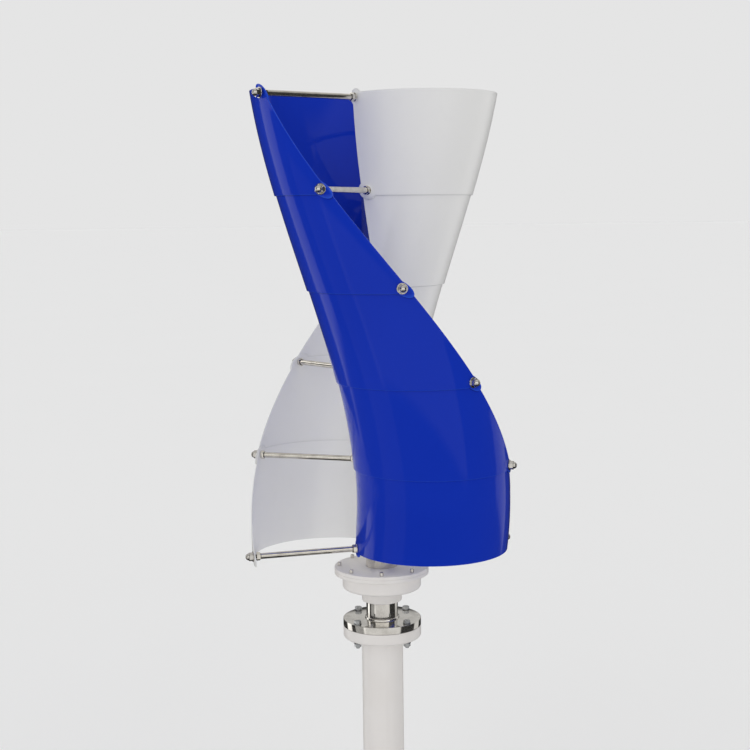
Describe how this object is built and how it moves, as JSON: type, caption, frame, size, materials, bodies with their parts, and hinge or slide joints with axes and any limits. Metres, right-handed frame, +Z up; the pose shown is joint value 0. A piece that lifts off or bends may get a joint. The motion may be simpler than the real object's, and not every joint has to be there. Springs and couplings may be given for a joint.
{
  "type": "vertical axis wind turbine",
  "caption": "Small vertical-axis wind turbine: two twisted half-round scoops, one blue and one white, on a disc generator and a flanged pole.",
  "frame": {"origin": "centre of the underside of the pole's foot, on the turning axis", "axes": "+Z up along the turning axis; -Y towards the side seen from the front, with the blue scoop's lowest segment facing it"},
  "size_m": [0.571, 0.5842, 1.5896],
  "materials": {
    "blue_paint": "gloss",
    "white_paint": "satin",
    "base_white": "powder coat",
    "stainless": "polished",
    "zinc_steel": "zinc plated",
    "magnet_steel": "plain",
    "coil_resin": "cast resin",
    "bearing_steel": "ground",
    "seal_rubber": "moulded"
  },
  "bodies": {
    "base": {"pole": "base_white", "stator_shaft": "stainless", "stator_coil_disc": "coil_resin", "shaft_lock_nut": "zinc_steel", "upper_bearing_inner": "bearing_steel", "lower_bearing_inner": "bearing_steel", "flange_bolt_1": "zinc_steel", "flange_bolt_2": "zinc_steel", "flange_bolt_3": "zinc_steel", "flange_bolt_4": "zinc_steel", "flange_nut_1": "zinc_steel", "flange_nut_2": "zinc_steel", "flange_nut_3": "zinc_steel", "flange_nut_4": "zinc_steel"},
    "rotor": {"blue_blade_1": "blue_paint", "blue_blade_2": "blue_paint", "blue_blade_3": "blue_paint", "blue_blade_4": "blue_paint", "blue_blade_5": "blue_paint", "white_blade_1": "white_paint", "white_blade_2": "white_paint", "white_blade_3": "white_paint", "white_blade_4": "white_paint", "white_blade_5": "white_paint", "tie_rod_blue_0": "stainless", "tie_rod_blue_1": "stainless", "tie_rod_blue_2": "stainless", "tie_rod_blue_3": "stainless", "tie_rod_blue_4": "stainless", "tie_rod_blue_5": "stainless", "tie_rod_white_0": "stainless", "tie_rod_white_1": "stainless", "tie_rod_white_2": "stainless", "tie_rod_white_3": "stainless", "tie_rod_white_4": "stainless", "tie_rod_white_5": "stainless", "dome_nut_blue_0": "stainless", "dome_nut_blue_1": "stainless", "dome_nut_blue_2": "stainless", "dome_nut_blue_3": "stainless", "dome_nut_blue_4": "stainless", "dome_nut_blue_5": "stainless", "dome_nut_white_0": "stainless", "dome_nut_white_1": "stainless", "dome_nut_white_2": "stainless", "dome_nut_white_3": "stainless", "dome_nut_white_4": "stainless", "dome_nut_white_5": "stainless", "top_inner_nut_blue": "stainless", "top_inner_nut_white": "stainless", "centre_tube": "stainless", "generator_cover": "base_white", "generator_housing": "base_white", "upper_magnet_rotor": "magnet_steel", "lower_magnet_rotor": "magnet_steel", "upper_bearing_outer": "bearing_steel", "lower_bearing_outer": "bearing_steel", "hub_seal": "seal_rubber"}
  },
  "joints": [
    {"name": "rotor_spin", "type": "hinge", "parent": "base", "child": "rotor", "pos_m": [0, 0, 0.55], "axis": [0, 0, 1], "continuous": true}
  ]
}
